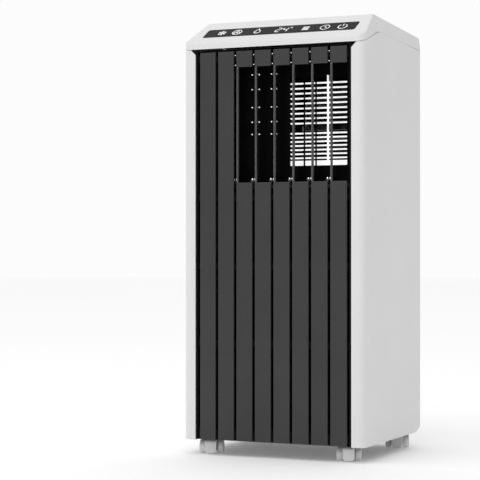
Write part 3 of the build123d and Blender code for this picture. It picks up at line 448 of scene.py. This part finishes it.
def draw_fan(shape, x):
    """The fan mark: three curved blades in a circle."""
    ring(shape, (x, 0), 6.6, 1.0)
    ring(shape, (x, 0), 1.2, 1.0)
    for blade in range(3):
        start = 90 + 120 * blade
        centre = (x + 3.2 * math.cos(math.radians(start)), 3.2 * math.sin(math.radians(start)))
        add_stroke(shape, arc(centre, 1.9, start - 150, start + 100, 14), 1.1)


def draw_drop(shape, x):
    """The drying mark: a drop with a highlight."""
    points = [(x, 6.5)] + arc((x, -1.8), 4.2, 25, -205, 26)
    add_stroke(shape, points, 1.1, closed=True)
    add_stroke(shape, arc((x, -1.8), 2.0, -160, -80, 8), 0.8)


def draw_levels(shape, x):
    """The fan speed mark: three level bars."""
    for level in (-3.0, 0.6, 4.2):
        add_stroke(shape, [(x - 4.6, level - 0.6), (x + 4.6, level - 0.6)], 2.0)


def draw_clock(shape, x):
    """The timer mark: a clock face with two hands."""
    ring(shape, (x, 0), 6.4, 1.1)
    add_stroke(shape, [(x, 3.8), (x, 0), (x + 3.0, -1.4)], 1.1)


def draw_power(shape, x):
    """The power mark: an open ring with an upright."""
    add_stroke(shape, arc((x, -0.6), 6.0, 125, 415, 28), 1.3)
    add_stroke(shape, [(x, 0.6), (x, 6.8)], 1.3)


def draw_digit(shape, x, lit):
    """A seven-segment digit leaning slightly, from the letters of its lit segments."""
    half, tall, lean = 3.1, 5.6, 0.12
    corners = {
        "a": ((-half, tall), (half, tall)), "b": ((half, tall), (half, 0)), "c": ((half, 0), (half, -tall)),
        "d": ((-half, -tall), (half, -tall)), "e": ((-half, 0), (-half, -tall)),
        "f": ((-half, tall), (-half, 0)), "g": ((-half, 0), (half, 0)),
    }
    for name in lit:
        (x0, y0), (x1, y1) = corners[name]
        run = Vector((x1 - x0, y1 - y0)).normalized() * 0.7
        start = (x + x0 + run.x + y0 * lean, y0 + run.y)
        end = (x + x1 - run.x + y1 * lean, y1 - run.y)
        add_stroke(shape, [start, end], 1.35)


def draw_display(shape, x):
    """The lit digits and a small ring after them."""
    draw_digit(shape, x - 5.6, "abged")
    draw_digit(shape, x + 4.2, "fgbc")
    ring(shape, (x + 11.6, 5.0), 1.1, 0.8)


MARKS = {
    "mark_cool": (draw_snowflake, -99.0), "mark_fan": (draw_fan, -73.0), "mark_dry": (draw_drop, -38.0),
    "mark_display": (draw_display, 4.0), "mark_speed": (draw_levels, 43.0), "mark_timer": (draw_clock, 75.0),
    "mark_power": (draw_power, 104.0),
}


def place_mark(shape, draw, x):
    """Draws a mark in the middle of the glass, then sizes it and moves it across to x."""
    draw(shape, 0.0)
    for vert in shape.verts:
        offset = vert.co - GLASS_MIDDLE
        aside = offset.dot(SLOPE_ACROSS) * MARK_WIDE + x * MM
        upward = offset.dot(SLOPE_UP) * MARK_TALL
        out = offset.dot(SLOPE_OUT)
        vert.co = GLASS_MIDDLE + SLOPE_ACROSS * aside + SLOPE_UP * upward + SLOPE_OUT * out


for name, (draw, x) in MARKS.items():
    new_piece(name, lambda shape, draw=draw, x=x: place_mark(shape, draw, x), mark_white, "casing")


# ---- small fixings in the outlet, the studs given a painted glow -------------------------------
DUCT_LOW, DUCT_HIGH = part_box("outlet_duct")
ROD_Y = DUCT_LOW.y + 3.5 * MM
ROD_END_GAP = 2 * MM
ROD_RADIUS = 0.5 * MM
BEAD_RADIUS = 1.0 * MM
GAP_BEAD_RADIUS = 0.7 * MM
GAP_BEAD_SHARE = 0.62
BEAD_HEIGHTS = (500, 519, 542, 570, 593)
ROD_PLACES = (-56.9, -47.0, -34.9, -14.2, -5.9)
GAP_BEAD_HEIGHTS = (606, 621)


def add_bead(shape, place, radius, facing=(0, -1, 0)):
    """A low round stud, its rim softened, facing one way."""
    centre = Vector(place)
    way = Vector(facing)
    add_round(shape, centre + way * -radius * 0.6, centre + way * radius * 0.6, radius, 14, 0.45)


def draw_rods(shape):
    """The thin upright rods inside the outlet duct."""
    for x in ROD_PLACES:
        foot = (x * MM, ROD_Y, DUCT_LOW.z + ROD_END_GAP)
        head = (x * MM, ROD_Y, DUCT_HIGH.z - ROD_END_GAP)
        add_round(shape, foot, head, ROD_RADIUS, 10)


def draw_rod_beads(shape):
    """The studs on the rods, at five heights, made bright by a painted glow."""
    for x in ROD_PLACES[1:]:
        for height in BEAD_HEIGHTS:
            add_bead(shape, (x * MM, ROD_Y - ROD_RADIUS, height * MM), BEAD_RADIUS)


def slat_lefts():
    """The left edges of the six slats that hold the vanes, from the vanes' pivots."""
    lefts = []
    for number in range(1, 7):
        joint = next(j for j in frame["joints"] if j["name"] == f"vane_{number}_swing")
        lefts.append(joint["pos_m"][0] - SLAT_THICK / 2)
    return lefts


SLAT_LEFTS = slat_lefts()
RIB_FRONT = FRONT_Y + SLAT_THICK


def draw_gap_beads(shape):
    """The studs on the top rib, in the gaps between the slats, made bright by a painted glow."""
    for left in SLAT_LEFTS:
        for height in GAP_BEAD_HEIGHTS:
            add_bead(shape, (left - SLAT_GAP * GAP_BEAD_SHARE, RIB_FRONT, height * MM), GAP_BEAD_RADIUS)


new_piece("outlet_rods", draw_rods, black_trim, "casing")
new_piece("outlet_rod_beads", draw_rod_beads, clip_steel_glowing, "casing")
new_piece("slat_gap_clips", draw_gap_beads, clip_steel_glowing, "casing")

TAB_TOP = 428.2 * MM
STUD_SHARES = (0.55, 1.0)
STUD_RADIUS = 0.9 * MM
STUD_SINK = 0.2 * MM
STUD_HEIGHT = 2.4 * MM
for number, left in enumerate(SLAT_LEFTS, start=1):
    pivot = Vector((left + SLAT_THICK / 2, FRONT_Y + SLAT_THICK / 2, TAB_TOP))

    def draw_studs(shape, pivot=pivot):
        """Two studs on a vane's crank tab, made bright by a painted glow."""
        for share in STUD_SHARES:
            foot = pivot + Vector((-CRANK * share, CRANK * 0.9, -STUD_SINK))
            add_round(shape, foot, foot + Vector((0, 0, STUD_HEIGHT)), STUD_RADIUS, 14, 0.4)

    new_piece(f"vane_{number}_studs", draw_studs, clip_steel_glowing, f"vane_{number}")


# ---- camera, floor and light -------------------------------------------------------------------
WORLD_BRIGHT = 0.975
WORLD_RIGHT = 0.48
DIM_SIDE = (0.94, 0.34, 0.0)
DIM_RANGE = (0.12, 1.0)
CAMERA_PLACE = (1.0216, -2.4927, 0.3263)
CAMERA_YAW = 24.6
CAMERA_PITCH = 0.2
CAMERA_LENS = 125.4
FLOOR_RADIUS = 14
LIGHT_PLACE = (-0.5, -1.6, 3.6)
LIGHT_TARGET = (0, 0, 0.3)
LIGHT_SIZE = (2.6, 2.6)
LIGHT_POWER = 20


def make_camera():
    """The long-lens view from the right of the front, level with the middle of the unit."""
    camera_data = bpy.data.cameras.new("view_camera")
    camera = bpy.data.objects.new("view_camera", camera_data)
    bpy.context.scene.collection.objects.link(camera)
    camera_data.sensor_width = 36.0
    camera_data.lens = CAMERA_LENS
    yaw, pitch = math.radians(CAMERA_YAW), math.radians(CAMERA_PITCH)
    level = math.cos(pitch)
    forward = Vector((-math.sin(yaw) * level, math.cos(yaw) * level, math.sin(pitch)))
    camera.location = CAMERA_PLACE
    camera.rotation_mode = "QUATERNION"
    camera.rotation_quaternion = forward.to_track_quat("-Z", "Y")
    camera_data.clip_end = 60
    bpy.context.scene.camera = camera


def make_floor():
    """A wide pale floor with faint mottling."""
    material = surface(
        "floor_pale", grey(0.95), spread=0.006, rough=0.8, grain=0.05, grain_size=3 * MM,
        mottle=0.6, wear_and_highlight=0.0, Specular_IOR_Level=0.1, Emission_Color=(1.0, 1.0, 1.0, 1.0),
        Emission_Strength=0.10,
    )
    bpy.ops.mesh.primitive_circle_add(vertices=96, radius=FLOOR_RADIUS, fill_type="NGON")
    floor = bpy.context.object
    floor.name = "floor"
    floor.data.materials.append(material)


def make_world():
    """A soft white surround, dimmer to the right of the unit."""
    world = bpy.data.worlds.new("studio")
    bpy.context.scene.world = world
    world.use_nodes = True
    tree = world.node_tree
    tree.nodes.clear()
    output = add(tree, "ShaderNodeOutputWorld", (600, 0))
    background = add(tree, "ShaderNodeBackground", (400, 0), Color=(1.0, 1.0, 1.0, 1.0))
    where = add(tree, "ShaderNodeTexCoord", (-600, 0))
    dot = add(tree, "ShaderNodeVectorMath", (-400, 0), operation="DOT_PRODUCT")
    dot.inputs[1].default_value = DIM_SIDE
    tree.links.new(where.outputs["Generated"], dot.inputs[0])
    strength = remap(tree, dot.outputs["Value"], WORLD_BRIGHT, WORLD_RIGHT, (-200, 0), DIM_RANGE)
    tree.links.new(strength, background.inputs["Strength"])
    tree.links.new(background.outputs["Background"], output.inputs["Surface"])


def make_light(name, place, target, size, power):
    """A square soft light aimed at a point."""
    data = bpy.data.lights.new(name, "AREA")
    data.shape = "RECTANGLE"
    data.size, data.size_y = size
    data.energy = power
    light = bpy.data.objects.new(name, data)
    light.location = place
    light.rotation_mode = "QUATERNION"
    light.rotation_quaternion = (Vector(target) - Vector(place)).to_track_quat("-Z", "Y")
    bpy.context.scene.collection.objects.link(light)


make_camera()
make_floor()
make_world()
make_light("overhead", LIGHT_PLACE, LIGHT_TARGET, LIGHT_SIZE, LIGHT_POWER)
bpy.context.scene.view_settings.view_transform = "Standard"
